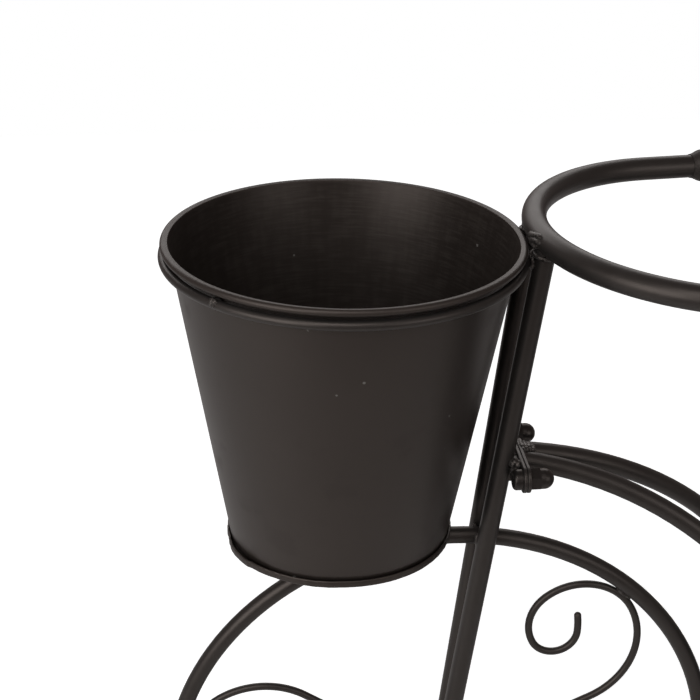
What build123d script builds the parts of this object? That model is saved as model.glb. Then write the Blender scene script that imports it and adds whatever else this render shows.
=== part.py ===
from build123d import *
import math
import os

# Bicycle plant stand: a three-wheeled stand of bent steel rod with three lift-out pots.
# Axes: X runs from the front wheel (-X) back to the tail (+X), Y runs across, +Z is up.
# The origin is on the ground, under the middle of the whole stand.
# Every size is in millimetres. Until the last step, x is counted from the front hub.

# Stock that the stand is bent from
FORK_ROD = 9.5
FRAME_ROD = 9.4
WHEEL_ROD = 8.5
HANDLEBAR_TUBE = 11.6
HANDLEBAR_WALL = 1.0
RING_WIRE = 4.5
FRONT_SCROLL_WIRE = 3.8
REAR_SCROLL_WIRE = 3.2
STAY_ROD = 7.0
AXLE_ROD = 8.0
CROSS_BAR_ROD = 6.0
WELD_GAP = 0.1            # between pieces that a weld joins side by side

# Pots, with heights counted from the middle of the rolled rim
RIM_OD = 165.0
RIM_ROLL = 3.3
POT_HEIGHT = 149.3
POT_TOP_R = 79.1          # outside of the wall under the rim
POT_FOOT_R = 52.6
POT_SHEET = 0.6
FLANGE_R = 54.4
FLANGE_HEIGHT = 3.4
FLANGE_SHEET = 1.0
FLOOR_RISE = 2.6          # top of the floor over the lowest edge

# Rings that the pots hang in
RING_R = 81.15            # middle of the wire
RING_DROP = 5.5           # under the middle of the rolled rim

# Front pot
FRONT_POT_X = -51.6
FRONT_RIM_Z = 444.6
FRONT_POT_TILT = 0.95     # degrees, the rim's front edge is the higher one
LUG_WIDTH = 8.0
LUG_THICK = 3.2
LUG_OFFSET = 0.9          # away from the pot's rim

# Wheels
FRONT_WHEEL_R = 141.4     # middle of the rod
REAR_WHEEL_R = 85.75
FRONT_HUB_R = 11.0
FRONT_HUB_LENGTH = 20.0
REAR_HUB_R = 9.0
REAR_HUB_LENGTH = 12.0
REAR_WHEEL_Y = 98.0
HUB_EDGE = 1.5
AXLE_FIT = 0.05
FRONT_HUB_Z = FRONT_WHEEL_R + WHEEL_ROD / 2
AXLE_Z = REAR_WHEEL_R + WHEEL_ROD / 2

# A scrolled spoke of the front wheel: straight out from the hub, then bends that tighten
SCROLLS_PER_WHEEL = 3
SCROLL_ANGLE = 25.8
SCROLL_STRAIGHT = 86.7
SCROLL_BENDS = [(40.3, 91.1), (29.5, 103.1), (22.0, 77.2), (12.3, 150.1), (55.0, 10.2)]
SCROLL_REACH = 135.05     # furthest from the hub that the middle of the wire comes
SCROLL_CLEAR = 0.2        # from the wheel's rod, closed by a weld

# Fork
FORK_FOOT = (0.6, 4.8, 156.6)
FORK_TOP = (37.6, 16.3, 447.1)
FORK_LEAD = 6.0           # run on into the hub, then cut to it

# Handlebar
HANDLEBAR_X = 36.4        # middle of the tube at the nose
HANDLEBAR_Z = 447.1
HANDLEBAR_R = 87.2
HANDLEBAR_TURN = 80.0     # degrees of bend each side of the nose
ARM_LENGTH = 90.0
HANDLEBAR_FALL = 1.7      # degrees down towards the grips
GRIP_R = 8.2
GRIP_LIP_R = 6.1
GRIP_START = 25.5         # along the straight arm
GRIP_FLARE = 6.5
GRIP_LENGTH = 68.0
GRIP_ROUND = 4.0
GRIP_FIT = 0.01

# Bolted joint between fork and frame
JOINT_Z = 330.2
PLATE_X = 30.6            # front face of the front plate
PLATE_THICK = 1.8
PLATE_GAP = 0.05
PLATE_HEIGHT = 13.0
PLATE_EDGE = 0.5          # radius round the outline
BOLT_Y = 22.8
BOLT_HOLE_R = 3.2
BOLT_SHANK_R = 2.95
BOLT_TIP_X = 43.4
BOLT_HEAD_R = 5.05
BOLT_HEAD_LENGTH = 4.6
BOLT_HEAD_ROUND = 1.7
SOCKET_FLATS = 4.0
SOCKET_DEPTH = 2.6
SOCKET_MOUTH_R = 3.2
SOCKET_MOUTH_DEPTH = 0.9
NUT_FLATS = 10.0
NUT_HEX_LENGTH = 4.7
NUT_LENGTH = 11.6
NUT_DOME_R = 4.95
NUT_FACE_R = 5.4
NUT_CHAMFER = 1.0
NUT_BORE_R = 3.0
NUT_BORE_PAST = 0.4       # past the bolt's tip
WELD_PAD_WIDTH = 7.0
WELD_PAD_HEIGHT = 10.0

# Frame rods: an arch over the wheel in a plane that leans out, then level rails
ARCH_R = 192.0
ARCH_START = 81.0         # degrees up from the horizontal, seen from the arch's centre
ARCH_END = 30.0
ARCH_SPREAD = 3.4
ARCH_LEAN = 15.3
ARCH_Y = 4.8              # half the distance between the rods at the plate
ARCH_RISE = 0.3           # above the middle of the plate
ARCH_LEAD = 3.0           # run on into the plate, then cut to it
RAIL_Z = 200.0
RAIL_SPLAY = 20.0         # degrees, where the rails run up to the middle ring
RAIL_BEND_R = 60.0
POT_PITCH = 174.0         # middle ring to rear ring
STAY_SPREAD = 28.0        # each way from the axle, where a stay meets the rail

PLATE_BACK = PLATE_X + 2 * PLATE_THICK + PLATE_GAP
RIM_R = RIM_OD / 2 - RIM_ROLL / 2
RAIL_Y = RING_R + (RING_WIRE + FRAME_ROD) / 2 + WELD_GAP
FROM_BASE = (Align.CENTER, Align.CENTER, Align.MIN)


def on_side(point, side):
    """The point on the left (+Y) or the right (-Y) of the stand."""
    x, y, z = point
    return Vector(x, side * y, z)


def round_bar(path, diameter):
    """A round bar along a path."""
    section = Plane(origin=path @ 0, z_dir=path % 0) * Circle(diameter / 2)
    return sweep(section, path=path)


def straight_bar(start, end, diameter):
    place = Plane(origin=start, z_dir=end - start)
    return place * Cylinder(diameter / 2, (end - start).length, align=FROM_BASE)


def across(x, z, radius, length, y=0.0):
    """A cylinder along Y, centred at y."""
    return Pos(x, y, z) * Rot(90, 0, 0) * Cylinder(radius, length)


def along_x(x, radius, length, y, z):
    """A cylinder along X that starts at x."""
    return Pos(x, y, z) * Rot(0, 90, 0) * Cylinder(radius, length, align=FROM_BASE)


# Frame rods

def arch_axes():
    """The two directions of the left rod's leaning plane: back, and up."""
    back = Vector(1, math.tan(math.radians(ARCH_SPREAD)), 0).normalized()
    rise = Vector(0, -math.tan(math.radians(ARCH_LEAN)), 1)
    up = (rise - back * rise.dot(back)).normalized()
    return back, up


def arch_point(angle, radius):
    """A point at an angle round the arch's centre, in the leaning plane."""
    back, up = arch_axes()
    first = Vector(PLATE_BACK, ARCH_Y, JOINT_Z + ARCH_RISE)
    start, turn = math.radians(ARCH_START), math.radians(angle)
    centre = first - (back * math.cos(start) + up * math.sin(start)) * ARCH_R
    return centre + (back * math.cos(turn) + up * math.sin(turn)) * radius


def arch_heading(angle):
    """The way the rod runs at an angle on the arch, going back and down."""
    back, up = arch_axes()
    turn = math.radians(angle)
    return back * math.sin(turn) - up * math.cos(turn)


def rail_knee():
    """Where the straight below the arch meets the height of the rails."""
    end, heading = arch_point(ARCH_END, ARCH_R), arch_heading(ARCH_END)
    return end + heading * ((RAIL_Z - end.Z) / heading.Z)


KNEE = rail_knee()
SPLAY = math.radians(RAIL_SPLAY)
MIDDLE_POT_X = KNEE.X + (RAIL_Y - KNEE.Y * math.cos(SPLAY)) / math.sin(SPLAY)
REAR_POT_X = MIDDLE_POT_X + POT_PITCH
AXLE_X = (MIDDLE_POT_X + REAR_POT_X) / 2


def frame_rod(side):
    lead = arch_point(ARCH_START, ARCH_R) - arch_heading(ARCH_START) * ARCH_LEAD
    half_arch = math.radians(ARCH_START - ARCH_END) / 2
    crown = arch_point((ARCH_START + ARCH_END) / 2, ARCH_R / math.cos(half_arch))
    turn_in = Vector(MIDDLE_POT_X - RAIL_Y * math.tan(SPLAY / 2), RAIL_Y, RAIL_Z)
    end = Vector(REAR_POT_X, RAIL_Y, RAIL_Z)
    points = [on_side(point, side) for point in (lead, crown, KNEE, turn_in, end)]
    rod = round_bar(FilletPolyline(*points, radius=[ARCH_R, RAIL_BEND_R, RAIL_Y]), FRAME_ROD)
    cut = 4 * FRAME_ROD
    return rod - Pos(PLATE_BACK - cut / 2, 0, JOINT_Z) * Box(cut, cut, cut)


def tail_hoop():
    arc = CenterArc((REAR_POT_X, 0, RAIL_Z), RAIL_Y, -90, 180)
    return round_bar(arc, FRAME_ROD)


def rail_cross_bar(rails):
    return across(AXLE_X, RAIL_Z, CROSS_BAR_ROD / 2, 2 * RAIL_Y) - rails


def rear_stay(side, rails):
    """A rod bent round the underside of the axle, with both ends up at the rail."""
    bend = (AXLE_ROD + STAY_ROD) / 2 + WELD_GAP
    rise = RAIL_Z - AXLE_Z
    slope = math.atan2(STAY_SPREAD, rise) - math.asin(bend / math.hypot(STAY_SPREAD, rise))
    tip = AXLE_Z - bend / math.sin(slope)
    points = [(AXLE_X - STAY_SPREAD, RAIL_Z), (AXLE_X, tip), (AXLE_X + STAY_SPREAD, RAIL_Z)]
    path = FilletPolyline(*[Vector(x, side * RAIL_Y, z) for x, z in points], radius=[bend])
    return round_bar(path, STAY_ROD) - rails


# Wheels

def wheel_ring(x, y, z, radius):
    return Pos(x, y, z) * Rot(90, 0, 0) * Torus(radius, WHEEL_ROD / 2)


def scroll(x, y, z, wheel_radius, wire, hub_core, turn):
    """A scrolled spoke from the hub to the wheel's rod, in the wheel's plane."""
    scale = (wheel_radius - (WHEEL_ROD + wire) / 2 - SCROLL_CLEAR) / SCROLL_REACH
    angle = math.radians(SCROLL_ANGLE + turn)
    heading = Vector(math.cos(angle), math.sin(angle), 0)
    bends = [Line(heading * REAR_HUB_R / 2, heading * (SCROLL_STRAIGHT * scale))]
    for radius, sweep_angle in SCROLL_BENDS:
        bends.append(JernArc(bends[-1] @ 1, bends[-1] % 1, radius * scale, sweep_angle))
    flat = round_bar(Wire([piece.edge() for piece in bends]), wire)
    free_end = Pos(bends[-1] @ 1) * Sphere(wire / 2)
    return Pos(x, y, z) * Rot(90, 0, 0) * (flat + free_end) - hub_core


def hub(x, z, radius, length, y=0.0, bore=0.0):
    boss = Cylinder(radius, length)
    boss = fillet(boss.edges().filter_by(GeomType.CIRCLE), HUB_EDGE)
    if bore:
        boss -= Cylinder(bore, 2 * length)
    return Pos(x, y, z) * Rot(90, 0, 0) * boss


# Handlebar and fork

def handlebar_path():
    turn = math.radians(HANDLEBAR_TURN)
    bend_end = Vector(HANDLEBAR_R * (1 - math.cos(turn)), HANDLEBAR_R * math.sin(turn), 0)
    tip = bend_end + Vector(math.sin(turn), math.cos(turn), 0) * ARM_LENGTH
    nose = CenterArc((HANDLEBAR_R, 0), HANDLEBAR_R, 180 - HANDLEBAR_TURN, 2 * HANDLEBAR_TURN)
    left = Line(tip, bend_end)
    right = Line(Vector(bend_end.X, -bend_end.Y, 0), Vector(tip.X, -tip.Y, 0))
    return Wire([left.edge(), nose.edge(), right.edge()]), bend_end


HANDLEBAR_PLACE = Pos(HANDLEBAR_X, 0, HANDLEBAR_Z) * Rot(0, HANDLEBAR_FALL, 0)


def handlebar_bar(diameter):
    return HANDLEBAR_PLACE * round_bar(handlebar_path()[0], diameter)


def grip(side):
    """A closed sleeve, flared from a thin lip, over the end of the arm."""
    shoulder = Spline((GRIP_LIP_R, 0), (GRIP_R, GRIP_FLARE), tangents=((0.1, 1), (0.1, 1)))
    end_r = GRIP_R - GRIP_ROUND
    barrel = Line((GRIP_R, GRIP_FLARE), (GRIP_R, GRIP_LENGTH - GRIP_ROUND))
    rounding = CenterArc((end_r, GRIP_LENGTH - GRIP_ROUND), GRIP_ROUND, 0, 90)
    rest = Polyline((end_r, GRIP_LENGTH), (0, GRIP_LENGTH), (0, 0), (GRIP_LIP_R, 0))
    outline = make_face([shoulder.edge(), barrel.edge(), rounding.edge(), *rest.edges()])
    body = revolve(Plane.XZ * outline, axis=Axis.Z)
    bore_depth = ARM_LENGTH - GRIP_START
    bore = Cylinder(HANDLEBAR_TUBE / 2 + GRIP_FIT, bore_depth, align=FROM_BASE)
    turn = math.radians(HANDLEBAR_TURN)
    heading = Vector(math.sin(turn), math.cos(turn), 0)
    start = handlebar_path()[1] + heading * GRIP_START
    place = Plane(origin=on_side(start, side), z_dir=on_side(heading, side))
    return HANDLEBAR_PLACE * (place * (body - bore))


def fork_rod(side, handlebar_core, hub_core):
    top, foot = Vector(*FORK_TOP), Vector(*FORK_FOOT)
    low = foot + (foot - top).normalized() * FORK_LEAD
    bar = straight_bar(on_side(low, side), on_side(top, side), FORK_ROD)
    return bar - handlebar_core - hub_core


def fork_at(z):
    """Middle of the left fork rod at a height."""
    share = (z - FORK_FOOT[2]) / (FORK_TOP[2] - FORK_FOOT[2])
    return [low + (high - low) * share for low, high in zip(FORK_FOOT, FORK_TOP)]


# Bolted joint

def plate(x):
    """A cross plate with round ends, its front face at x."""
    facing = Plane(origin=(x, 0, JOINT_Z), x_dir=(0, 1, 0), z_dir=(1, 0, 0))
    outline = facing * SlotOverall(2 * BOLT_Y + PLATE_HEIGHT, PLATE_HEIGHT)
    solid = extrude(outline, PLATE_THICK)
    solid = fillet(solid.faces().filter_by(Axis.X).edges(), PLATE_EDGE)
    for side in (1, -1):
        solid -= along_x(x - PLATE_THICK, BOLT_HOLE_R, 3 * PLATE_THICK, side * BOLT_Y, JOINT_Z)
    return solid


def fork_plate(fork_rods):
    """The front plate, with the weld metal that fills up to the fork rods."""
    solid = plate(PLATE_X)
    rod_x, rod_y, _ = fork_at(JOINT_Z)
    depth = PLATE_X - rod_x
    for side in (1, -1):
        pad = Pos(rod_x + depth / 2, side * rod_y, JOINT_Z) * Box(depth, WELD_PAD_WIDTH, WELD_PAD_HEIGHT)
        solid += pad - fork_rods
    return solid


def plate_bolt(side):
    head = along_x(PLATE_X - BOLT_HEAD_LENGTH, BOLT_HEAD_R, BOLT_HEAD_LENGTH, 0, 0)
    head = fillet(head.edges().filter_by(GeomType.CIRCLE).sort_by(Axis.X)[0], BOLT_HEAD_ROUND)
    socket_face = Plane(origin=(PLATE_X - BOLT_HEAD_LENGTH, 0, 0), z_dir=(1, 0, 0))
    head -= extrude(socket_face * RegularPolygon(SOCKET_FLATS / 2, 6, major_radius=False), SOCKET_DEPTH)
    mouth = Cone(SOCKET_MOUTH_R, SOCKET_FLATS / 2, SOCKET_MOUTH_DEPTH, align=FROM_BASE)
    head -= socket_face.location * mouth
    shank = along_x(PLATE_X, BOLT_SHANK_R, BOLT_TIP_X - PLATE_X, 0, 0)
    return Pos(0, side * BOLT_Y, JOINT_Z) * (head + shank)


def cap_nut(side):
    base = PLATE_BACK
    face = Plane(origin=(base, 0, 0), z_dir=(1, 0, 0))
    hexagon = extrude(face * RegularPolygon(NUT_FLATS / 2, 6, major_radius=False), NUT_HEX_LENGTH)
    rounded = along_x(base, NUT_FACE_R + NUT_CHAMFER, NUT_HEX_LENGTH, 0, 0)
    rounded = chamfer(rounded.edges().filter_by(GeomType.CIRCLE), NUT_CHAMFER)
    dome_x = base + NUT_LENGTH - NUT_DOME_R
    neck = along_x(base + NUT_HEX_LENGTH, NUT_DOME_R, dome_x - base - NUT_HEX_LENGTH, 0, 0)
    dome = Pos(dome_x, 0, 0) * Sphere(NUT_DOME_R)
    nut = (hexagon & rounded) + neck + dome
    nut -= along_x(base, NUT_BORE_R, BOLT_TIP_X + NUT_BORE_PAST - base, 0, 0)
    return Pos(0, side * BOLT_Y, JOINT_Z) * nut


# Pots and their rings

def turned(points):
    """A solid of revolution about Z from an outline of (radius, height) points."""
    outline = make_face(Polyline(*points, close=True).edges())
    return revolve(Plane.XZ * outline, axis=Axis.Z)


def pot_wall():
    foot = FLANGE_SHEET - POT_HEIGHT
    top_in = POT_TOP_R - POT_SHEET
    bead = RIM_ROLL / 2
    wall = turned([
        (POT_FOOT_R, foot),
        (POT_TOP_R, 0),
        (RIM_R, 0),
        (RIM_R, 0.9 * bead),
        (top_in + POT_SHEET, 0.6 * bead),
        (top_in, 0),
        (POT_FOOT_R - POT_SHEET, foot),
    ])
    return wall + Torus(RIM_R, bead)


def pot_base():
    low = -POT_HEIGHT
    channel_in = POT_FOOT_R - POT_SHEET - 0.4
    channel_out = FLANGE_R - FLANGE_SHEET
    sheet = FLANGE_SHEET * 0.7
    return turned([
        (0, low + FLOOR_RISE - sheet),
        (channel_in - sheet, low + FLOOR_RISE - sheet),
        (channel_in - sheet, low),
        (FLANGE_R, low),
        (FLANGE_R, low + FLANGE_HEIGHT),
        (channel_out, low + FLANGE_HEIGHT),
        (channel_out, low + sheet),
        (channel_in, low + sheet),
        (channel_in, low + FLOOR_RISE),
        (0, low + FLOOR_RISE),
    ])


POT_PLACES = {
    "front": Pos(FRONT_POT_X, 0, FRONT_RIM_Z) * Rot(0, FRONT_POT_TILT, 0),
    "middle": Pos(MIDDLE_POT_X, 0, RAIL_Z + RING_DROP),
    "rear": Pos(REAR_POT_X, 0, RAIL_Z + RING_DROP),
}


def pot_ring(name):
    return POT_PLACES[name] * Pos(0, 0, -RING_DROP) * Torus(RING_R, RING_WIRE / 2)


def front_ring_lug(ring, handlebar_core):
    """A short block from the back of the front ring up to the handlebar's nose."""
    ring_x = FRONT_POT_X + RING_R
    ring_z = FRONT_RIM_Z - RING_DROP - RING_R * math.sin(math.radians(FRONT_POT_TILT))
    middle = Vector((ring_x + HANDLEBAR_X) / 2, 0, (ring_z + HANDLEBAR_Z) / 2)
    toward = Vector(HANDLEBAR_X - ring_x, 0, HANDLEBAR_Z - ring_z)
    away = Vector(toward.Z, 0, -toward.X).normalized() * LUG_OFFSET
    place = Plane(origin=middle + away, x_dir=(0, 1, 0), z_dir=toward)
    return place * Box(LUG_WIDTH, LUG_THICK, toward.length) - ring - handlebar_core


# Assembly

def make_nodes():
    nodes = {}
    handlebar_core = handlebar_bar(HANDLEBAR_TUBE)
    nodes["handlebar_tube"] = handlebar_core - handlebar_bar(HANDLEBAR_TUBE - 2 * HANDLEBAR_WALL)
    front_hub = hub(0, FRONT_HUB_Z, FRONT_HUB_R, FRONT_HUB_LENGTH)
    nodes["front_hub"] = front_hub
    nodes["front_wheel_ring"] = wheel_ring(0, 0, FRONT_HUB_Z, FRONT_WHEEL_R)
    front_core = across(0, FRONT_HUB_Z, FRONT_HUB_R, FRONT_HUB_LENGTH)
    for number in range(SCROLLS_PER_WHEEL):
        turn = 360 / SCROLLS_PER_WHEEL * number
        nodes[f"front_wheel_scroll_{number + 1}"] = scroll(
            0, 0, FRONT_HUB_Z, FRONT_WHEEL_R, FRONT_SCROLL_WIRE, front_core, turn)

    sides = {"left": 1, "right": -1}
    for name, side in sides.items():
        nodes[f"grip_{name}"] = grip(side)
        nodes[f"fork_rod_{name}"] = fork_rod(side, handlebar_core, front_core)
        nodes[f"frame_rod_{name}"] = frame_rod(side)
    fork_rods = nodes["fork_rod_left"] + nodes["fork_rod_right"]
    rails = nodes["frame_rod_left"] + nodes["frame_rod_right"]

    nodes["fork_plate"] = fork_plate(fork_rods)
    nodes["frame_plate"] = plate(PLATE_X + PLATE_THICK + PLATE_GAP)
    nodes["plate_bolts"] = Compound([plate_bolt(side).solid() for side in sides.values()])
    nodes["plate_cap_nuts"] = Compound([cap_nut(side).solid() for side in sides.values()])

    nodes["tail_hoop"] = tail_hoop()
    nodes["rail_cross_bar"] = rail_cross_bar(rails)
    nodes["rear_axle"] = across(AXLE_X, AXLE_Z, AXLE_ROD / 2, 2 * REAR_WHEEL_Y + REAR_HUB_LENGTH)
    for name, side in sides.items():
        y = side * REAR_WHEEL_Y
        nodes[f"rear_stay_{name}"] = rear_stay(side, rails)
        nodes[f"rear_hub_{name}"] = hub(
            AXLE_X, AXLE_Z, REAR_HUB_R, REAR_HUB_LENGTH, y, AXLE_ROD / 2 + AXLE_FIT)
        nodes[f"rear_wheel_ring_{name}"] = wheel_ring(AXLE_X, y, AXLE_Z, REAR_WHEEL_R)
        core = across(AXLE_X, AXLE_Z, REAR_HUB_R, REAR_HUB_LENGTH, y)
        for number in range(SCROLLS_PER_WHEEL):
            turn = 360 / SCROLLS_PER_WHEEL * number
            nodes[f"rear_wheel_scroll_{name}_{number + 1}"] = scroll(
                AXLE_X, y, AXLE_Z, REAR_WHEEL_R, REAR_SCROLL_WIRE, core, turn)

    for name, place in POT_PLACES.items():
        nodes[f"{name}_pot_ring"] = pot_ring(name)
        nodes[f"{name}_pot_wall"] = place * pot_wall()
        nodes[f"{name}_pot_base"] = place * pot_base()
    nodes["front_ring_lug"] = front_ring_lug(nodes["front_pot_ring"], handlebar_core)
    return nodes


FRONT_END = -FRONT_WHEEL_R - WHEEL_ROD / 2
TAIL_END = REAR_POT_X + RAIL_Y + FRAME_ROD / 2
TO_MIDDLE = Pos(-(FRONT_END + TAIL_END) / 2, 0, 0)

os.makedirs("parts", exist_ok=True)
for node_name, node_solid in make_nodes().items():
    export_step(TO_MIDDLE * node_solid, f"parts/{node_name}.step")
print("front hub x", round(TO_MIDDLE.position.X, 3))
print("middle pot x", round(TO_MIDDLE.position.X + MIDDLE_POT_X, 3))
print("length", round(TAIL_END - FRONT_END, 2))
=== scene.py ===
import math

import bmesh
import bpy
from mathutils import Matrix, Vector


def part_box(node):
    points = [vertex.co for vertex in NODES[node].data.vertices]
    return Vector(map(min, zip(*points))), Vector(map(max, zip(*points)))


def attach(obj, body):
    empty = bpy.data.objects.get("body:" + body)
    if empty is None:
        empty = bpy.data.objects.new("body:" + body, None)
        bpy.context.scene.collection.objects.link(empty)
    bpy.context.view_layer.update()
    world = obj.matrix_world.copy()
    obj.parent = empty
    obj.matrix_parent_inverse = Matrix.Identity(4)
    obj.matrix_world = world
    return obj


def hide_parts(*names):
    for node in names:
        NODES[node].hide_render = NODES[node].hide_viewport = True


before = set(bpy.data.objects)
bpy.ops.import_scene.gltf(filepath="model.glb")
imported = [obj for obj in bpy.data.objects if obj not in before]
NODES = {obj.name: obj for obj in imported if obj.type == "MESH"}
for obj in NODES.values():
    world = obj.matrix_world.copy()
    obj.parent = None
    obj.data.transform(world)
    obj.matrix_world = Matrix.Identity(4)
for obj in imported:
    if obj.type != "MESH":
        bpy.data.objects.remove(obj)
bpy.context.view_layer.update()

MM = 0.001
POTS = ("front", "middle", "rear")
SIDES = {"left": 1, "right": -1}
SCROLLS = (1, 2, 3)


# Places and sizes read from the frame

def centre(node):
    low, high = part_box(node)
    return (Vector(low) + Vector(high)) / 2


def extent(node):
    low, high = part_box(node)
    return Vector(high) - Vector(low)


HUB = centre("front_hub")
AXLE = centre("rear_axle")
WHEEL_ROD = extent("front_wheel_ring").y
HUB_R = extent("front_hub").x / 2
REAR_HUB_R = extent("rear_hub_left").x / 2
RING_WIRE = extent("middle_pot_ring").z
RING_R = (extent("middle_pot_ring").x - RING_WIRE) / 2
RAIL_ROD = extent("tail_hoop").z
RAIL_Y = (extent("tail_hoop").y - RAIL_ROD) / 2
RAIL_Z = centre("tail_hoop").z
STAY_ROD = extent("rear_stay_left").y
AXLE_ROD = extent("rear_axle").x
CROSS_ROD = extent("rail_cross_bar").z
SCROLL_WIRE = {"front": extent("front_wheel_scroll_1").y, "rear": extent("rear_wheel_scroll_left_1").y}


# Sizes of the pots' sheet metal, which is turned here, in metres

RIM_OVER_RING = 5.5 * MM
RIM_R = 80.85 * MM
ROLL_R = 1.65 * MM
WALL_TOP_R = 79.1 * MM
WALL_FOOT_R = 52.6 * MM
WALL_DROP = 148.3 * MM
SHEET = 0.6 * MM
BASE_DROP = 149.3 * MM
BAND_R = 54.4 * MM
BAND_HEIGHT = 3.6 * MM
BAND_SHEET = 1.1 * MM
FLOOR_RISE = 2.6 * MM
TURN_STEPS = 288
WALL_STEPS = 26
UNEVENNESS = 0.14 * MM
CRIMP = 0.8 * MM
BULGE = 1.4 * MM
POT_TILT = {"front": math.radians(0.95), "middle": 0.0, "rear": 0.0}
FOOT_LEAN = {"front": 0.032, "middle": 0.0, "rear": 0.0}
NOTCH_ANGLE = {"front": math.radians(215), "middle": math.radians(265), "rear": math.radians(315)}
NOISE_SEED = {"front": 3.0, "middle": 8.0, "rear": 13.0}


# What the welds follow: the fork and the bolted plates, placed from the middle of the front hub, and the angle, in
# degrees round each pot ring, at which the ends of its wire meet

FORK_ROD = 9.5 * MM
FORK_FOOT = Vector((0.6, 4.8, 10.95)) * MM
FORK_TOP = Vector((37.6, 16.3, 301.45)) * MM
PLATE_FRONT = 30.6 * MM
PLATE_BACK = 34.25 * MM
JOINT_Z = 184.55 * MM
ARCH_Y = 4.8 * MM
RING_BUTT_ANGLE = {"front": 224, "middle": 180, "rear": 0}


# Camera and lamps

IMAGE_SIZE = 700
SENSOR = 36.0
FOCAL_PIXELS = 1561.88
CAMERA_FROM_HUB = Vector((-0.109588, -0.6524, 0.55315))
CAMERA_AZIMUTH = math.radians(-5.318)
CAMERA_ELEVATION = math.radians(25.221)
CAMERA_ROLL = math.radians(0.13)
SOFTBOXES = {
    "left_front_softbox": {
        "place": (-1.2, -0.9, 0.7), "target": (-0.2, 0, 0.3), "size": (1.0, 1.0), "power": 10.5},
    "back_high_softbox": {
        "place": (-0.3, 1.7, 1.3), "target": (-0.2, 0, 0.3), "size": (2.5, 0.8), "power": 12},
    "front_top_softbox": {
        "place": (-0.5, -1.2, 1.7), "target": (-0.2, 0, 0.3), "size": (1.0, 1.0), "power": 9.5},
    "right_front_softbox": {
        "place": (0.9, -1.3, 0.9), "target": (-0.1, 0, 0.3), "size": (1.0, 1.0), "power": 5}}


def make_camera():
    """The photograph's camera, placed from the front hub."""
    data = bpy.data.cameras.new("photo_camera")
    data.sensor_width = SENSOR
    data.lens = FOCAL_PIXELS * SENSOR / IMAGE_SIZE
    data.clip_start = 0.01
    data.clip_end = 50
    camera = bpy.data.objects.new("photo_camera", data)
    bpy.context.scene.collection.objects.link(camera)
    azimuth, elevation, roll = CAMERA_AZIMUTH, CAMERA_ELEVATION, CAMERA_ROLL
    back = Vector((math.sin(azimuth) * math.cos(elevation), -math.cos(azimuth) * math.cos(elevation),
                   math.sin(elevation)))
    level = Vector((math.cos(azimuth), math.sin(azimuth), 0))
    upright = back.cross(level)
    right = level * math.cos(roll) + upright * math.sin(roll)
    up = upright * math.cos(roll) - level * math.sin(roll)
    turn = Matrix((right, up, back)).transposed()
    camera.matrix_world = Matrix.Translation(HUB + CAMERA_FROM_HUB) @ turn.to_4x4()
    bpy.context.scene.camera = camera


def area_lamp(name, place, target, size, power):
    """A rectangular lamp that faces a target and that the camera doesn't see."""
    data = bpy.data.lights.new(name, "AREA")
    data.shape = "RECTANGLE"
    data.size, data.size_y = size
    data.energy = power
    lamp = bpy.data.objects.new(name, data)
    lamp.location = place
    lamp.rotation_euler = (Vector(target) - Vector(place)).to_track_quat("-Z", "Y").to_euler()
    lamp.visible_camera = False
    bpy.context.scene.collection.objects.link(lamp)


# Node trees

class Wire:
    """A socket that adds its Math nodes when it is used in an expression."""

    def __init__(self, graph, socket):
        self.graph = graph
        self.socket = socket

    def maths(self, operation, *values):
        return self.graph.node("ShaderNodeMath", {"operation": operation}, dict(enumerate(values)))

    def __add__(self, other):
        return self.maths("ADD", self, other)

    __radd__ = __add__

    def __mul__(self, other):
        return self.maths("MULTIPLY", self, other)

    __rmul__ = __mul__

    def __sub__(self, other):
        return self.maths("SUBTRACT", self, other)

    def __rsub__(self, other):
        return self.maths("SUBTRACT", other, self)

    def __truediv__(self, other):
        return self.maths("DIVIDE", self, other)

    def __gt__(self, other):
        return self.maths("GREATER_THAN", self, other)

    def __lt__(self, other):
        return self.maths("LESS_THAN", self, other)

    def of(self, operation, *others):
        return self.maths(operation, self, *others)


class Graph:
    """A node tree under construction, with one way to add a node."""

    def __init__(self, tree):
        self.tree = tree

    def node(self, kind, settings=None, sockets=None, output=0):
        node = self.tree.nodes.new(kind)
        for key, value in (settings or {}).items():
            setattr(node, key, value)
        for key, value in (sockets or {}).items():
            self.feed(node.inputs[key], value)
        return Wire(self, node.outputs[output])

    def feed(self, socket, value):
        if isinstance(value, Wire):
            self.tree.links.new(value.socket, socket)
        else:
            socket.default_value = value

    def vector(self, operation, *values, output=0):
        return self.node("ShaderNodeVectorMath", {"operation": operation}, dict(enumerate(values)), output)

    def join_xyz(self, x, y, z):
        return self.node("ShaderNodeCombineXYZ", None, {0: x, 1: y, 2: z})

    def split_xyz(self, vector):
        first = self.node("ShaderNodeSeparateXYZ", None, {0: vector})
        parts = first.socket.node.outputs
        return [Wire(self, parts[axis]) for axis in range(3)]

    def noise(self, vector, scale, detail=2.0, rough=0.5):
        return self.node("ShaderNodeTexNoise", None,
                         {"Vector": vector, "Scale": scale, "Detail": detail, "Roughness": rough})

    def cells(self, vector, scale):
        """How far a place is from the nearest of many scattered points."""
        return self.node("ShaderNodeTexVoronoi", {"feature": "F1"},
                         {"Vector": vector, "Scale": scale, "Randomness": 1})

    def ramp(self, value, low, high):
        """0 below low, 1 above high, smooth between."""
        return self.node("ShaderNodeMapRange", {"interpolation_type": "SMOOTHSTEP"},
                         {"Value": value, "From Min": low, "From Max": high})


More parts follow.
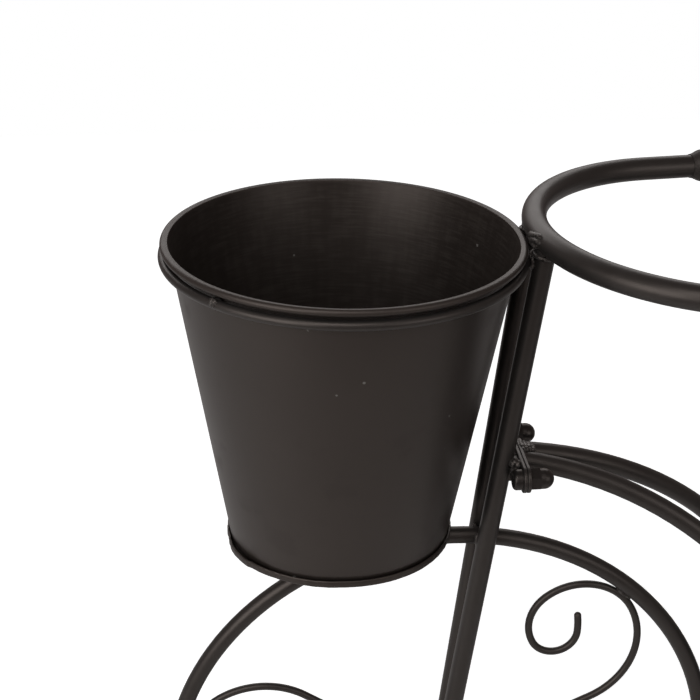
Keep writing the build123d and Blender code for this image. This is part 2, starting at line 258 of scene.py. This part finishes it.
class Finish(Graph):
    """A surface material: its tree and its main shader."""

    def __init__(self, name):
        self.material = bpy.data.materials.new(name)
        self.material.use_nodes = True
        super().__init__(self.material.node_tree)
        self.shader = self.tree.nodes["Principled BSDF"]

    def set(self, **sockets):
        for key, value in sockets.items():
            self.feed(self.shader.inputs[key.replace("_", " ")], value)

    def place(self):
        return self.node("ShaderNodeTexCoord", output="Object")

    def blend(self, factor, first, second):
        return self.node("ShaderNodeMix", {"data_type": "RGBA"}, {0: factor, 6: first, 7: second}, 2)

    def bump(self, height, distance, under=None):
        sockets = {"Height": height, "Distance": distance}
        if under is not None:
            sockets["Normal"] = under
        return self.node("ShaderNodeBump", None, sockets)


class Plan(Graph):
    """A Geometry Nodes tree with named inputs, which ends in plain geometry with a material."""

    KINDS = {float: "NodeSocketFloat", int: "NodeSocketInt", Vector: "NodeSocketVector"}

    def __init__(self, name, inputs):
        super().__init__(bpy.data.node_groups.new(name, "GeometryNodeTree"))
        sockets = self.tree.interface
        sockets.new_socket(name="Geometry", in_out="INPUT", socket_type="NodeSocketGeometry")
        for label, kind in inputs.items():
            sockets.new_socket(name=label, in_out="INPUT", socket_type=self.KINDS[kind])
        sockets.new_socket(name="Geometry", in_out="OUTPUT", socket_type="NodeSocketGeometry")
        self.inputs = self.tree.nodes.new("NodeGroupInput").outputs

    def given(self, label):
        return Wire(self, self.inputs[label])

    def end(self, geometry, material):
        smooth = self.node("GeometryNodeSetShadeSmooth", None, {"Geometry": geometry})
        plain = self.node("GeometryNodeRealizeInstances", None, {"Geometry": smooth})
        painted = self.node("GeometryNodeSetMaterial", None, {"Geometry": plain, "Material": material})
        self.feed(self.tree.nodes.new("NodeGroupOutput").inputs[0], painted)


def grow(name, start, plan, values, material):
    """The plain mesh object that a plan makes from a starting mesh."""
    seed = bpy.data.objects.new(name + "_start", start)
    bpy.context.scene.collection.objects.link(seed)
    modifier = seed.modifiers.new("plan", "NODES")
    modifier.node_group = plan.tree
    for item in plan.tree.interface.items_tree:
        if item.in_out == "INPUT" and item.name in values:
            modifier[item.identifier] = values[item.name]
    evaluated = seed.evaluated_get(bpy.context.evaluated_depsgraph_get())
    mesh = bpy.data.meshes.new_from_object(evaluated)
    seed.modifiers.remove(modifier)
    bpy.data.objects.remove(seed)
    bm = bmesh.new()
    bm.from_mesh(mesh)
    bmesh.ops.recalc_face_normals(bm, faces=bm.faces)
    bm.to_mesh(mesh)
    bm.free()
    mesh.name = name
    mesh.materials.clear()
    mesh.materials.append(material)
    piece = bpy.data.objects.new(name, mesh)
    bpy.context.scene.collection.objects.link(piece)
    return piece


# Finishes

SKIN_TINT = (1.0, 0.86, 0.78, 1)


def powder_coat():
    """Satin black powder coat on rod: a fine orange peel and a faint cloudiness."""
    finish = Finish("powder_coat")
    place = finish.place()
    cloud = finish.noise(place, 90, 3)
    peel = finish.noise(place, 1100, 2)
    grit = finish.noise(place, 4200, 1)
    dark, light = (0.0115, 0.0105, 0.010, 1), (0.019, 0.0175, 0.0165, 1)
    finish.set(Base_Color=finish.blend(cloud, dark, light), Roughness=cloud * 0.12 + 0.34,
               Normal=finish.bump(grit, 0.006 * MM, finish.bump(peel, 0.03 * MM)), Specular_Tint=SKIN_TINT)
    return finish.material


def weld_coat():
    """The same coat over weld metal: lumpy and glossier, with paler patches on the lumps' crests painted in as
    highlights.
    """
    finish = Finish("weld_coat")
    place = finish.place()
    lumps = finish.noise(place, 700, 4, 0.6)
    grit = finish.noise(place, 3000, 2)
    # The paler colour on the lumps' raised parts is a painted highlight, standing in for glints on the weld metal.
    dark, light = (0.010, 0.009, 0.0085, 1), (0.085, 0.078, 0.073, 1)
    lumps_with_painted_glint = finish.blend(finish.ramp(lumps, 0.4, 0.75), dark, light)
    finish.set(Base_Color=lumps_with_painted_glint, Roughness=grit * 0.2 + 0.2, Normal=finish.bump(lumps, 0.25 * MM),
               Specular_Tint=SKIN_TINT)
    return finish.material


def pot_paint():
    """Satin paint on turned sheet: smooth outside, finely lined inside with painted shade darkening it, and with
    specks of dust and smudges.
    """
    finish = Finish("pot_paint")
    place = finish.node("ShaderNodeAttribute", {"attribute_name": "pot_place"}, output="Vector")
    inside = finish.node("ShaderNodeAttribute", {"attribute_name": "inside"}, output="Fac")
    rolled = finish.node("ShaderNodeAttribute", {"attribute_name": "rolled"}, output="Fac")
    cloud = finish.noise(place, 26, 3)
    lined = finish.noise(finish.vector("MULTIPLY", place, (70, 70, 1000)), 1, 3, 0.6)
    upright = finish.noise(finish.vector("MULTIPLY", place, (260, 260, 6)), 1, 2)
    smudge = finish.ramp(finish.noise(place, 55, 3), 0.58, 0.72)
    speck = (finish.cells(place, 62) < 0.05) * (finish.noise(place, 34, 1) > 0.52)
    streaks = finish.ramp(lined + upright * 0.5, 0.62, 1.0)
    dark, light = (0.0150, 0.0118, 0.0102, 1), (0.0220, 0.0176, 0.0154, 1)
    # The smudges are dirt. The second colour is painted shade for the pot's inside.
    smudged, painted_inside_shade = (0.010, 0.008, 0.007, 1), (0.005, 0.004, 0.0036, 1)
    brushed, dusty = (0.05, 0.043, 0.038, 1), (0.16, 0.15, 0.14, 1)
    paint = finish.blend(cloud, dark, light)
    paint = finish.blend(smudge * 0.35, paint, smudged)
    # Painted shade: the inside of the pot, its wall and floor, is darkened a little.
    paint = finish.blend(inside * 0.15, paint, painted_inside_shade)
    paint = finish.blend(inside * streaks * 0.35, paint, brushed)
    paint = finish.blend(speck * 0.8, paint, dusty)
    rough = cloud * 0.08 + 0.34 + smudge * 0.05 + inside * (lined * 0.12 - 0.07) + rolled * 0.06
    peel = finish.bump(finish.noise(place, 1500, 2), 0.006 * MM)
    finish.set(Base_Color=paint, Roughness=rough, Specular_Tint=SKIN_TINT,
               Normal=finish.bump(inside * lined, 0.02 * MM, peel))
    return finish.material


def black_oxide():
    """Hardware with a thin dark coat, a little worn to grey in patches and lumpy from the paint."""
    finish = Finish("black_oxide")
    place = finish.place()
    cloud = finish.noise(place, 500, 3)
    wear = finish.ramp(finish.noise(place, 1800, 3, 0.6), 0.6, 0.75)
    dark, worn = (0.012, 0.011, 0.0105, 1), (0.05, 0.047, 0.045, 1)
    finish.set(Base_Color=finish.blend(wear * 0.5, dark, worn), Metallic=0.25, Roughness=cloud * 0.2 + 0.24,
               Normal=finish.bump(cloud, 0.06 * MM), Specular_Tint=SKIN_TINT)
    return finish.material


def grip_plastic():
    """Matte moulded sleeve with a fine leathery grain."""
    finish = Finish("grip_plastic")
    place = finish.place()
    grain = finish.cells(place, 1400)
    cloud = finish.noise(place, 120, 2)
    dark, light = (0.013, 0.012, 0.0115, 1), (0.02, 0.0185, 0.0175, 1)
    finish.set(Base_Color=finish.blend(cloud, dark, light), Roughness=cloud * 0.1 + 0.5,
               Normal=finish.bump(grain, 0.08 * MM), Specular_Tint=SKIN_TINT)
    return finish.material


# Stage

WHITE = (1, 1, 1, 1)
WARM = (1.0, 0.83, 0.78, 1)
FLOOR_GREY = (0.8, 0.8, 0.8, 1)
FLOOR_GLOW = 0.7
FLOOR_SHEEN = 0.11
FLOOR_DROP = 0.2 * MM
FLOOR_CORNERS = ((-2.5, -0.55), (2.5, -0.55), (2.5, 1.6), (-2.5, 1.6))
WORLD_LIGHT = 0.02
WORLD_SHEEN = 0.22


def white_floor():
    """Pale floor with a soft shadow, white to the camera and warm in reflections."""
    finish = Finish("white_floor")
    plain = finish.node("ShaderNodeBsdfDiffuse", None, {"Color": FLOOR_GREY})
    bright = finish.node("ShaderNodeBsdfDiffuse", None, {"Color": WHITE})
    glow = finish.node("ShaderNodeEmission", None, {"Strength": FLOOR_GLOW})
    seen = finish.node("ShaderNodeAddShader", None, {0: bright, 1: glow})
    sheen = finish.node("ShaderNodeEmission", None, {"Color": WARM, "Strength": FLOOR_SHEEN})
    lit = finish.node("ShaderNodeAddShader", None, {0: plain, 1: sheen})
    camera_ray = finish.node("ShaderNodeLightPath", output="Is Camera Ray")
    glossy_ray = finish.node("ShaderNodeLightPath", output="Is Glossy Ray")
    first = finish.node("ShaderNodeMixShader", None, {0: glossy_ray, 1: plain, 2: lit})
    both = finish.node("ShaderNodeMixShader", None, {0: camera_ray, 1: first, 2: seen})
    finish.feed(finish.tree.nodes["Material Output"].inputs["Surface"], both)
    return finish.material


def make_floor():
    bm = bmesh.new()
    bm.faces.new([bm.verts.new((x, y, 0)) for x, y in FLOOR_CORNERS])
    mesh = bpy.data.meshes.new("floor")
    bm.to_mesh(mesh)
    bm.free()
    mesh.materials.append(white_floor())
    floor = bpy.data.objects.new("floor", mesh)
    floor.location.z = -FLOOR_DROP
    bpy.context.scene.collection.objects.link(floor)


def make_world():
    """White to the camera, warm in reflections and faint as a light."""
    world = bpy.data.worlds.new("studio")
    bpy.context.scene.world = world
    world.use_nodes = True
    graph = Graph(world.node_tree)
    soft = graph.node("ShaderNodeBackground", None, {"Color": WHITE, "Strength": WORLD_LIGHT})
    sheen = graph.node("ShaderNodeBackground", None, {"Color": WARM, "Strength": WORLD_SHEEN})
    white = graph.node("ShaderNodeBackground", None, {"Color": WHITE, "Strength": 1})
    camera_ray = graph.node("ShaderNodeLightPath", output="Is Camera Ray")
    glossy_ray = graph.node("ShaderNodeLightPath", output="Is Glossy Ray")
    first = graph.node("ShaderNodeMixShader", None, {0: glossy_ray, 1: soft, 2: sheen})
    mix = graph.node("ShaderNodeMixShader", None, {0: camera_ray, 1: first, 2: white})
    graph.feed(graph.tree.nodes["World Output"].inputs["Surface"], mix)


# Pots

ZONES = ("crimp", "inside", "rolled")


def outline_mesh(name, points, zones):
    """A chain of (radius, height) points, each with its share of every zone."""
    mesh = bpy.data.meshes.new(name)
    links = [(i, i + 1) for i in range(len(points) - 1)]
    mesh.from_pydata([(radius, 0, height) for radius, height in points], links, [])
    for slot, label in enumerate(ZONES):
        layer = mesh.attributes.new(label, "FLOAT", "POINT")
        for item, zone in zip(layer.data, zones):
            item.value = zone[slot]
    return mesh


def turning_plan(material):
    """Turns an outline round the Z axis, with a crimped, uneven edge where the outline says so.

    The crimp bulges out before a notch, steps in at it and fades behind it. The foot leans down on the -X side.
    """
    plan = Plan("turned_sheet", {
        "Points": int, "Steps": int, "Unevenness": float, "Crimp": float, "Seed": float, "Bulge": float,
        "Notch Angle": float, "Foot Lean": float, "Turn": Vector, "Place": Vector})
    points, steps = plan.given("Points"), plan.given("Steps")
    grid = plan.node("GeometryNodeMeshGrid", None, {"Vertices X": steps + 1, "Vertices Y": points})
    index = plan.node("GeometryNodeInputIndex")
    step = (index / points).of("FLOOR")
    row = index - step * points
    outline = plan.given("Geometry")

    def along(data_type, value):
        return plan.node("GeometryNodeSampleIndex", {"data_type": data_type},
                         {"Geometry": outline, "Value": value, "Index": row})

    def share(label):
        named = plan.node("GeometryNodeInputNamedAttribute", {"data_type": "FLOAT"}, {"Name": label})
        return along("FLOAT", named)

    radius, _, height = plan.split_xyz(along("FLOAT_VECTOR", plan.node("GeometryNodeInputPosition")))
    angle = step / steps * math.tau
    cosine, sine = angle.of("COSINE"), angle.of("SINE")
    round_place = plan.join_xyz(cosine, sine, plan.given("Seed"))
    crimp = share("crimp")
    wave = plan.noise(round_place, 9, 3, 0.6) - 0.5
    ripple = plan.noise(round_place, 26, 2) - 0.5
    past_notch = angle - plan.given("Notch Angle")
    step_in = 1 - plan.ramp(past_notch, 0.0, 0.035) * 0.5
    lobe = plan.ramp(past_notch, -0.5, -0.25) * step_in * (1 - plan.ramp(past_notch, 0.03, 0.4))
    out = crimp * (plan.given("Crimp") * (wave + ripple * 1.2) + plan.given("Bulge") * lobe)
    sheet_place = plan.join_xyz(cosine * radius, sine * radius, height)
    slow = plan.noise(plan.vector("ADD", sheet_place, plan.join_xyz(0, 0, plan.given("Seed"))), 22, 1) - 0.5
    radius = radius + (out + slow * plan.given("Unevenness")) * (radius > 1 * MM)
    lean = plan.given("Foot Lean") * (height / -WALL_DROP) * radius * cosine.of("MINIMUM", 0.0)
    height = height + crimp * plan.given("Crimp") * ripple * 1.2 + lean
    place = plan.join_xyz(cosine * radius, sine * radius, height)
    solid = plan.node("GeometryNodeSetPosition", None, {"Geometry": grid, "Position": place})
    marks = [("pot_place", "FLOAT_VECTOR", place)] + [(label, "FLOAT", share(label)) for label in ZONES[1:]]
    for label, kind, value in marks:
        solid = plan.node("GeometryNodeStoreNamedAttribute", {"data_type": kind},
                          {"Geometry": solid, "Name": label, "Value": value})
    solid = plan.node("GeometryNodeMergeByDistance", None, {"Geometry": solid, "Distance": 0.001 * MM})
    solid = plan.node("GeometryNodeTransform", None,
                      {"Geometry": solid, "Rotation": plan.given("Turn"), "Translation": plan.given("Place")})
    plan.end(solid, material)
    return plan


def arc(middle_r, middle_z, radius, start, end, count):
    angles = [math.radians(start + (end - start) * i / count) for i in range(count + 1)]
    return [(middle_r + radius * math.cos(a), middle_z + radius * math.sin(a)) for a in angles]


def line(start, end, count):
    return [tuple(a + (b - a) * i / count for a, b in zip(start, end)) for i in range(count + 1)]


def wall_outline():
    """Round the sheet once: up the outside, over the rolled rim and down the inside."""
    slope = (WALL_TOP_R - WALL_FOOT_R) / WALL_DROP
    tuck_z, crease_z, inside_z = -1.9 * MM, -1.2 * MM, -0.4 * MM
    crease_out, rim_in = 0.12 * MM, 0.2 * MM
    corner_r, corner_in, corner_up = 0.5 * MM, 1.45 * MM, 0.85 * MM
    outside = line((WALL_FOOT_R, -WALL_DROP), (WALL_TOP_R + slope * tuck_z, tuck_z), WALL_STEPS)
    crease = [(WALL_TOP_R + crease_out, crease_z)]
    roll = arc(RIM_R, 0, ROLL_R, -128, 112, 22)
    corner = arc(RIM_R - corner_in, corner_up, corner_r, 98, 176, 6)
    inside = line((WALL_TOP_R - SHEET + rim_in, inside_z), (WALL_FOOT_R - SHEET, -WALL_DROP), WALL_STEPS)
    points = outside + crease + roll + corner + inside
    rolled = len(roll) + len(corner)
    zones = [(0, 0, 0)] * (len(outside) + 1) + [(0, 0, 1)] * rolled + [(0, 1, 0)] * len(inside)
    return points + points[:1], zones + zones[:1]


def base_outline():
    """Round the base once: the floor's top, the channel round the wall's foot, the band and the underside."""
    low = -BASE_DROP
    top = low + FLOOR_RISE
    lip = BAND_SHEET / 2
    gap, bevel, heel_r, lining = 0.4 * MM, 0.5 * MM, 0.9 * MM, 2 * MM
    channel = WALL_FOOT_R - SHEET - gap
    band_in, band_top = BAND_R - BAND_SHEET, low + BAND_HEIGHT
    floor_top = [(0, top), (channel * 0.5, top), (channel - bevel, top), (channel, top - gap)]
    gutter = [(channel, low + BAND_SHEET), (band_in, low + BAND_SHEET), (band_in, low + lining)]
    edge = arc(BAND_R - lip, band_top - lip, lip, 180, 0, 8)
    heel = arc(BAND_R - heel_r, low + heel_r, heel_r, 0, -90, 6)
    under = [(channel - BAND_SHEET, low), (channel - BAND_SHEET - gap, top - BAND_SHEET), (0, top - BAND_SHEET)]
    points = floor_top + gutter + edge + heel + under
    zones = [(0, 1, 0)] * len(floor_top) + [(0, 0, 0), (0.3, 0, 0), (0.7, 0, 0)] + [(1, 0, 0)] * len(edge)
    zones += [(1, 0, 0)] * len(heel) + [(0.3, 0, 0)] + [(0, 0, 0)] * (len(under) - 1)
    return points, zones


def make_pots(paint):
    plan = turning_plan(paint)
    outlines = {"wall": wall_outline(), "base": base_outline()}
    for pot in POTS:
        ring = centre(f"{pot}_pot_ring")
        tilt = POT_TILT[pot]
        rim = ring + Vector((math.sin(tilt), 0, math.cos(tilt))) * RIM_OVER_RING
        for part, (points, zones) in outlines.items():
            node = f"{pot}_pot_{part}"
            values = {"Points": len(points), "Steps": TURN_STEPS, "Unevenness": UNEVENNESS, "Crimp": CRIMP,
                      "Seed": NOISE_SEED[pot], "Bulge": BULGE, "Notch Angle": NOTCH_ANGLE[pot],
                      "Foot Lean": FOOT_LEAN[pot], "Turn": (0, tilt, 0), "Place": tuple(rim)}
            start = outline_mesh(f"{node}_outline", points, zones)
            piece = grow(f"{node}_skin", start, plan, values, paint)
            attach(piece, f"{pot}_pot")
            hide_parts(node)


# Welds

class WeldRuns:
    """Runs of weld metal: each a chain of points with its bead radius."""

    def __init__(self):
        self.points = []
        self.links = []
        self.radii = []

    def run(self, path, bead):
        first = len(self.points)
        self.points += path
        self.radii += [bead] * len(path)
        self.links += [(first + i, first + i + 1) for i in range(len(path) - 1)]

    def line(self, start, end, bead):
        self.run([start.lerp(end, i / 4) for i in range(5)], bead)

    def hoop(self, middle, axis, radius, bead, sweep=(0, 360)):
        """A run round a rod whose axis is given, from one angle to another."""
        side = axis.orthogonal().normalized()
        over = axis.normalized().cross(side)
        angles = [math.radians(sweep[0] + (sweep[1] - sweep[0]) * i / 16) for i in range(17)]
        self.run([middle + (side * math.cos(a) + over * math.sin(a)) * radius for a in angles], bead)

    def mesh(self):
        mesh = bpy.data.meshes.new("weld_runs")
        mesh.from_pydata(self.points, self.links, [])
        layer = mesh.attributes.new("bead", "FLOAT", "POINT")
        layer.data.foreach_set("value", self.radii)
        return mesh


def weld_plan(material):
    """Lays an uneven bead along each run, thin at its ends and rippled along its length."""
    plan = Plan("weld_beads", {"Spacing": float, "Ripple": float, "Sides": int})
    runs = plan.node("GeometryNodeMeshToCurve", None, {"Mesh": plan.given("Geometry")})
    fine = plan.node("GeometryNodeResampleCurve", {"mode": "LENGTH"},
                     {"Curve": runs, "Length": plan.given("Spacing")})
    along = plan.node("GeometryNodeSplineParameter", output="Factor")
    bead = plan.node("GeometryNodeInputNamedAttribute", {"data_type": "FLOAT"}, {"Name": "bead"})
    place = plan.node("GeometryNodeInputPosition")
    swell = plan.noise(place, 420, 2) + 0.55
    taper = (along * (1 - along) * 4).of("POWER", 0.3).of("MAXIMUM", 0.35)
    section = plan.node("GeometryNodeCurvePrimitiveCircle", None,
                        {"Resolution": plan.given("Sides"), "Radius": 1.0}, output="Curve")
    thickness = bead * swell * taper
    solid = plan.node("GeometryNodeCurveToMesh", None,
                      {"Curve": fine, "Profile Curve": section, "Scale": thickness, "Fill Caps": True})
    normal = plan.node("GeometryNodeInputNormal")
    lump = (plan.noise(place, 900, 3, 0.6) - 0.5) * plan.given("Ripple")
    offset = plan.vector("MULTIPLY", normal, plan.join_xyz(lump, lump, lump))
    solid = plan.node("GeometryNodeSetPosition", None, {"Geometry": solid, "Offset": offset})
    plan.end(solid, material)
    return plan


def fork_at(height, side):
    """Middle of a fork rod at a height over the hub."""
    share = (height - FORK_FOOT.z) / (FORK_TOP.z - FORK_FOOT.z)
    spot = FORK_FOOT.lerp(FORK_TOP, share)
    return HUB + Vector((spot.x, side * spot.y, spot.z))


def reach_point(node, middle):
    """The point of a scroll that comes furthest from its hub."""
    points = [vertex.co.copy() for vertex in NODES[node].data.vertices]
    far = max((point - middle).length for point in points)
    within = 0.25 * MM
    farthest = [point for point in points if (point - middle).length > far - within]
    spot = sum(farthest, Vector()) / len(farthest)
    return Vector((spot.x, middle.y, spot.z))


# Runs whose points are in mm from the front hub, with Y counted outwards, each with its bead radius in mm

RING_TO_BAR_RUNS = (
    ([(32.1, 2, 300.6), (32.1, 8, 302.2), (31.9, 12, 303.4), (32.9, 16, 304.5), (34.2, 20, 304.9)], 1.5),
    ([(32.6, 2, 298.8), (32.3, 9, 300.4), (31.9, 14, 301.8), (32.5, 18, 302.6), (33.6, 21, 302.8)], 1.7),
    ([(33.0, 3, 297.0), (32.6, 10, 298.6), (32.2, 15, 299.8), (32.8, 19, 300.2)], 1.7))
ROD_TO_PLATE_RUNS = (
    ([(25.6, 15.6, 190.8), (28.3, 16.3, 189.6), (31.0, 17.0, 188.4)], 2.4),
    ([(26.2, 16.2, 187.0), (28.9, 17.4, 186.1), (31.6, 18.6, 185.2)], 2.5),
    ([(26.6, 15.8, 183.2), (29.0, 16.9, 182.4), (31.4, 18.0, 181.6)], 2.2))

# Runs across both frame rods behind the plate: distance past its back, height over the bolts, half length, in mm

ROD_END_RUNS = ((0.2, 5.5, 7.0), (2.0, 5.0, 5.0), (3.8, 4.4, 4.0), (5.6, 3.8, 3.0), (1.0, -4.6, 5.0))


def weld_fork(welds):
    """Each fork rod to the handlebar, plate, pot ring, wheel and hub, then the lug to the ring and handlebar."""
    low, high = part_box("front_ring_lug")
    lug_top, lug_low = high[2], low[2]
    rod_bead, edge_bead, plate_bead, lug_bead = 1.1 * MM, 1.2 * MM, 1.5 * MM, 1.3 * MM
    for side in SIDES.values():
        rise = (fork_at(0.2, side) - fork_at(0.1, side)).normalized()
        under_bar = 6.3 * MM
        welds.hoop(fork_at(FORK_TOP.z - under_bar, side), rise, FORK_ROD / 2, rod_bead)
        rod = fork_at(JOINT_Z, side)
        flank, inset, reach = 3.9 * MM, 1.2 * MM, 5.5 * MM
        for edge in (-1, 1):
            y = rod.y + edge * flank
            x = HUB.x + PLATE_FRONT - inset
            welds.line(Vector((x, y, rod.z - reach)), Vector((x, y, rod.z + reach)), plate_bead)
        ring = centre("front_pot_ring")
        at_ring = fork_at(ring.z - HUB.z, side)
        outward = Vector((at_ring.x - ring.x, at_ring.y, 0)).normalized()
        past_wire, flank, below, above = 0.6 * MM, 2.2 * MM, 3 * MM, 2.5 * MM
        wire_outside = RING_R + RING_WIRE / 2 + past_wire
        touch = Vector((ring.x, 0, at_ring.z - RING_R * math.sin(POT_TILT["front"]))) + outward * wire_outside
        for edge in (-1, 1):
            spot = touch + Vector((0, edge * flank, 0))
            welds.line(spot - Vector((0, 0, below)), spot + Vector((0, 0, above)), edge_bead)
        crossing_x, flank, reach = 17 * MM, 3.2 * MM, 4 * MM
        top = math.sqrt((extent("front_wheel_ring").x / 2 - WHEEL_ROD / 2) ** 2 - crossing_x ** 2)
        crossing = fork_at(top, side)
        between = Vector((crossing.x, side * (WHEEL_ROD / 2 + 0.4 * MM), HUB.z + top))
        for edge in (-1, 1):
            spot = between + Vector((edge * flank, 0, 0))
            welds.line(spot - Vector((0, 0, reach)), spot + Vector((0, 0, reach)), edge_bead)
        foot = fork_at(HUB_R * 0.98, side)
        welds.hoop(foot, rise, FORK_ROD / 2, rod_bead)
        for path, bead in ROD_TO_PLATE_RUNS + (RING_TO_BAR_RUNS if side < 0 else ()):
            welds.run([HUB + Vector((x, side * y, z)) * MM for x, y, z in path], bead * MM)
    half = extent("front_ring_lug").y / 2
    for edge in (-1, 1):
        y = edge * half
        welds.line(Vector((low[0], y, lug_low + 1 * MM)), Vector((high[0], y, lug_top)), lug_bead)
    welds.line(Vector((low[0], -half, lug_low)), Vector((low[0], half, lug_low)), lug_bead)
    nose_x, nose_z = high[0] - 1 * MM, centre("front_ring_lug").z + 2 * MM
    welds.line(Vector((nose_x, -half, nose_z)), Vector((nose_x, half, nose_z)), edge_bead)


def weld_frame_plate(welds):
    """The ends of the two frame rods to their plate, and the metal that fills the space between them."""
    back = HUB + Vector((PLATE_BACK, 0, JOINT_Z))
    for side in SIDES.values():
        middle = back + Vector((0.5 * MM, side * ARCH_Y, 0.3 * MM))
        welds.hoop(middle, Vector((1, 0, 0)), RAIL_ROD / 2, 0.8 * MM)
    for past, rise, reach in ROD_END_RUNS:
        start = back + Vector((past, -reach, rise)) * MM
        welds.line(start, start + Vector((0, 2 * reach * MM, 0)), 1.4 * MM)


def weld_scrolls(welds, names, middle, hub_r, wire):
    """Each scroll to its wheel's hoop, on both faces, and its inner end to the hub."""
    half_run = 5 * MM
    for name in names:
        reach = reach_point(name, middle)
        outward = (reach - middle).normalized()
        tangent = Vector((outward.z, 0, -outward.x))
        touch = reach + outward * 0.1 * MM
        for edge in (-1, 1):
            spot = touch + Vector((0, edge * wire * 0.3, 0))
            welds.line(spot - tangent * half_run, spot + tangent * half_run, wire * 0.27)
        points = [vertex.co for vertex in NODES[name].data.vertices]
        near = min(points, key=lambda point: (point - middle).length)
        spoke = Vector((near.x - middle.x, 0, near.z - middle.z)).normalized()
        welds.hoop(middle + spoke * hub_r, spoke, wire / 2, wire * 0.3)


def weld_rails(welds):
    """The pot rings, cross bar, tail hoop and stays to the frame rods, and the axle to the stays and hubs."""
    half_run, off_middle, bead = 8 * MM, 1.3 * MM, 1.1 * MM
    for pot in ("middle", "rear"):
        ring = centre(f"{pot}_pot_ring")
        for side in SIDES.values():
            y = side * (RING_R + RING_WIRE / 2)
            for rise in (1, -1):
                middle = Vector((ring.x, y, ring.z + rise * off_middle))
                welds.line(middle - Vector((half_run, 0, 0)), middle + Vector((half_run, 0, 0)), bead)
    tail = centre("rear_pot_ring") + Vector((RING_R + RING_WIRE / 2, 0, 0))
    for rise in (1, -1):
        middle = tail + Vector((0, 0, rise * off_middle))
        welds.line(middle - Vector((0, half_run, 0)), middle + Vector((0, half_run, 0)), bead)
    for side in SIDES.values():
        rail = Vector((centre("rear_pot_ring").x, side * RAIL_Y, RAIL_Z))
        welds.hoop(rail, Vector((1, 0, 0)), RAIL_ROD / 2 - 0.35 * MM, 0.6 * MM)
        cross = Vector((centre("rail_cross_bar").x, side * (RAIL_Y - RAIL_ROD / 2 + 0.2 * MM), RAIL_Z))
        welds.hoop(cross, Vector((0, 1, 0)), CROSS_ROD / 2, 1.0 * MM)
        low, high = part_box("rear_stay_left" if side > 0 else "rear_stay_right")
        for x in (low[0] + STAY_ROD / 2, high[0] - STAY_ROD / 2):
            lean = Vector((x - AXLE.x, 0, RAIL_Z - AXLE.z)).normalized()
            top = Vector((x, side * RAIL_Y, RAIL_Z)) - lean * RAIL_ROD * 0.46
            welds.hoop(top, lean, STAY_ROD / 2, 1.0 * MM)
        for edge in (-1, 1):
            y = side * RAIL_Y + edge * STAY_ROD / 2
            welds.hoop(Vector((AXLE.x, y, AXLE.z)), Vector((0, 1, 0)), AXLE_ROD / 2, 0.9 * MM)
        tip = AXLE.y + side * (extent("rear_axle").y / 2 - 0.2 * MM)
        welds.hoop(Vector((AXLE.x, tip, AXLE.z)), Vector((0, 1, 0)), AXLE_ROD / 2 - 0.4 * MM, 0.5 * MM)


def weld_ring_butts(welds):
    """The lump where the ends of a pot ring's wire meet, proud enough to touch the pot's rolled rim."""
    for pot, turn in RING_BUTT_ANGLE.items():
        ring = centre(f"{pot}_pot_ring")
        angle = math.radians(turn)
        outward = Vector((math.cos(angle), math.sin(angle), 0))
        tangent = Vector((-outward.y, outward.x, 0))
        drop = -RING_R * math.cos(angle) * math.sin(POT_TILT[pot])
        middle = ring + outward * RING_R + Vector((0, 0, drop))
        for shift in (-0.9 * MM, 0.7 * MM):
            spot = middle + tangent * shift
            welds.hoop(spot, tangent, RING_WIRE / 2 - 0.6 * MM, 1.3 * MM)
            crest = spot + outward * 0.9 * MM + Vector((0, 0, 3.0 * MM))
            welds.line(spot + outward * 1.2 * MM, crest, 1.5 * MM)


def make_welds(material):
    welds = WeldRuns()
    weld_fork(welds)
    weld_frame_plate(welds)
    weld_scrolls(welds, [f"front_wheel_scroll_{n}" for n in SCROLLS], HUB, HUB_R, SCROLL_WIRE["front"])
    for side in SIDES:
        middle = centre(f"rear_hub_{side}")
        names = [f"rear_wheel_scroll_{side}_{n}" for n in SCROLLS]
        weld_scrolls(welds, names, middle, REAR_HUB_R, SCROLL_WIRE["rear"])
    weld_rails(welds)
    weld_ring_butts(welds)
    values = {"Spacing": 0.5 * MM, "Ripple": 0.7 * MM, "Sides": 10}
    piece = grow("weld_beads", welds.mesh(), weld_plan(material), values, material)
    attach(piece, "stand")


# Everything in its place

make_camera()
make_floor()
make_world()
for name, lamp in SOFTBOXES.items():
    area_lamp(name, **lamp)

coat = powder_coat()
paint = pot_paint()
dark_steel = black_oxide()
sleeve = grip_plastic()
finish_of = {"plate_bolts": dark_steel, "plate_cap_nuts": dark_steel, "grip_left": sleeve, "grip_right": sleeve}
for pot in POTS:
    finish_of[f"{pot}_pot_wall"] = finish_of[f"{pot}_pot_base"] = paint
for name, node in NODES.items():
    node.data.materials.clear()
    node.data.materials.append(finish_of.get(name, coat))
make_pots(paint)
make_welds(weld_coat())

bpy.context.scene.view_settings.view_transform = "Standard"
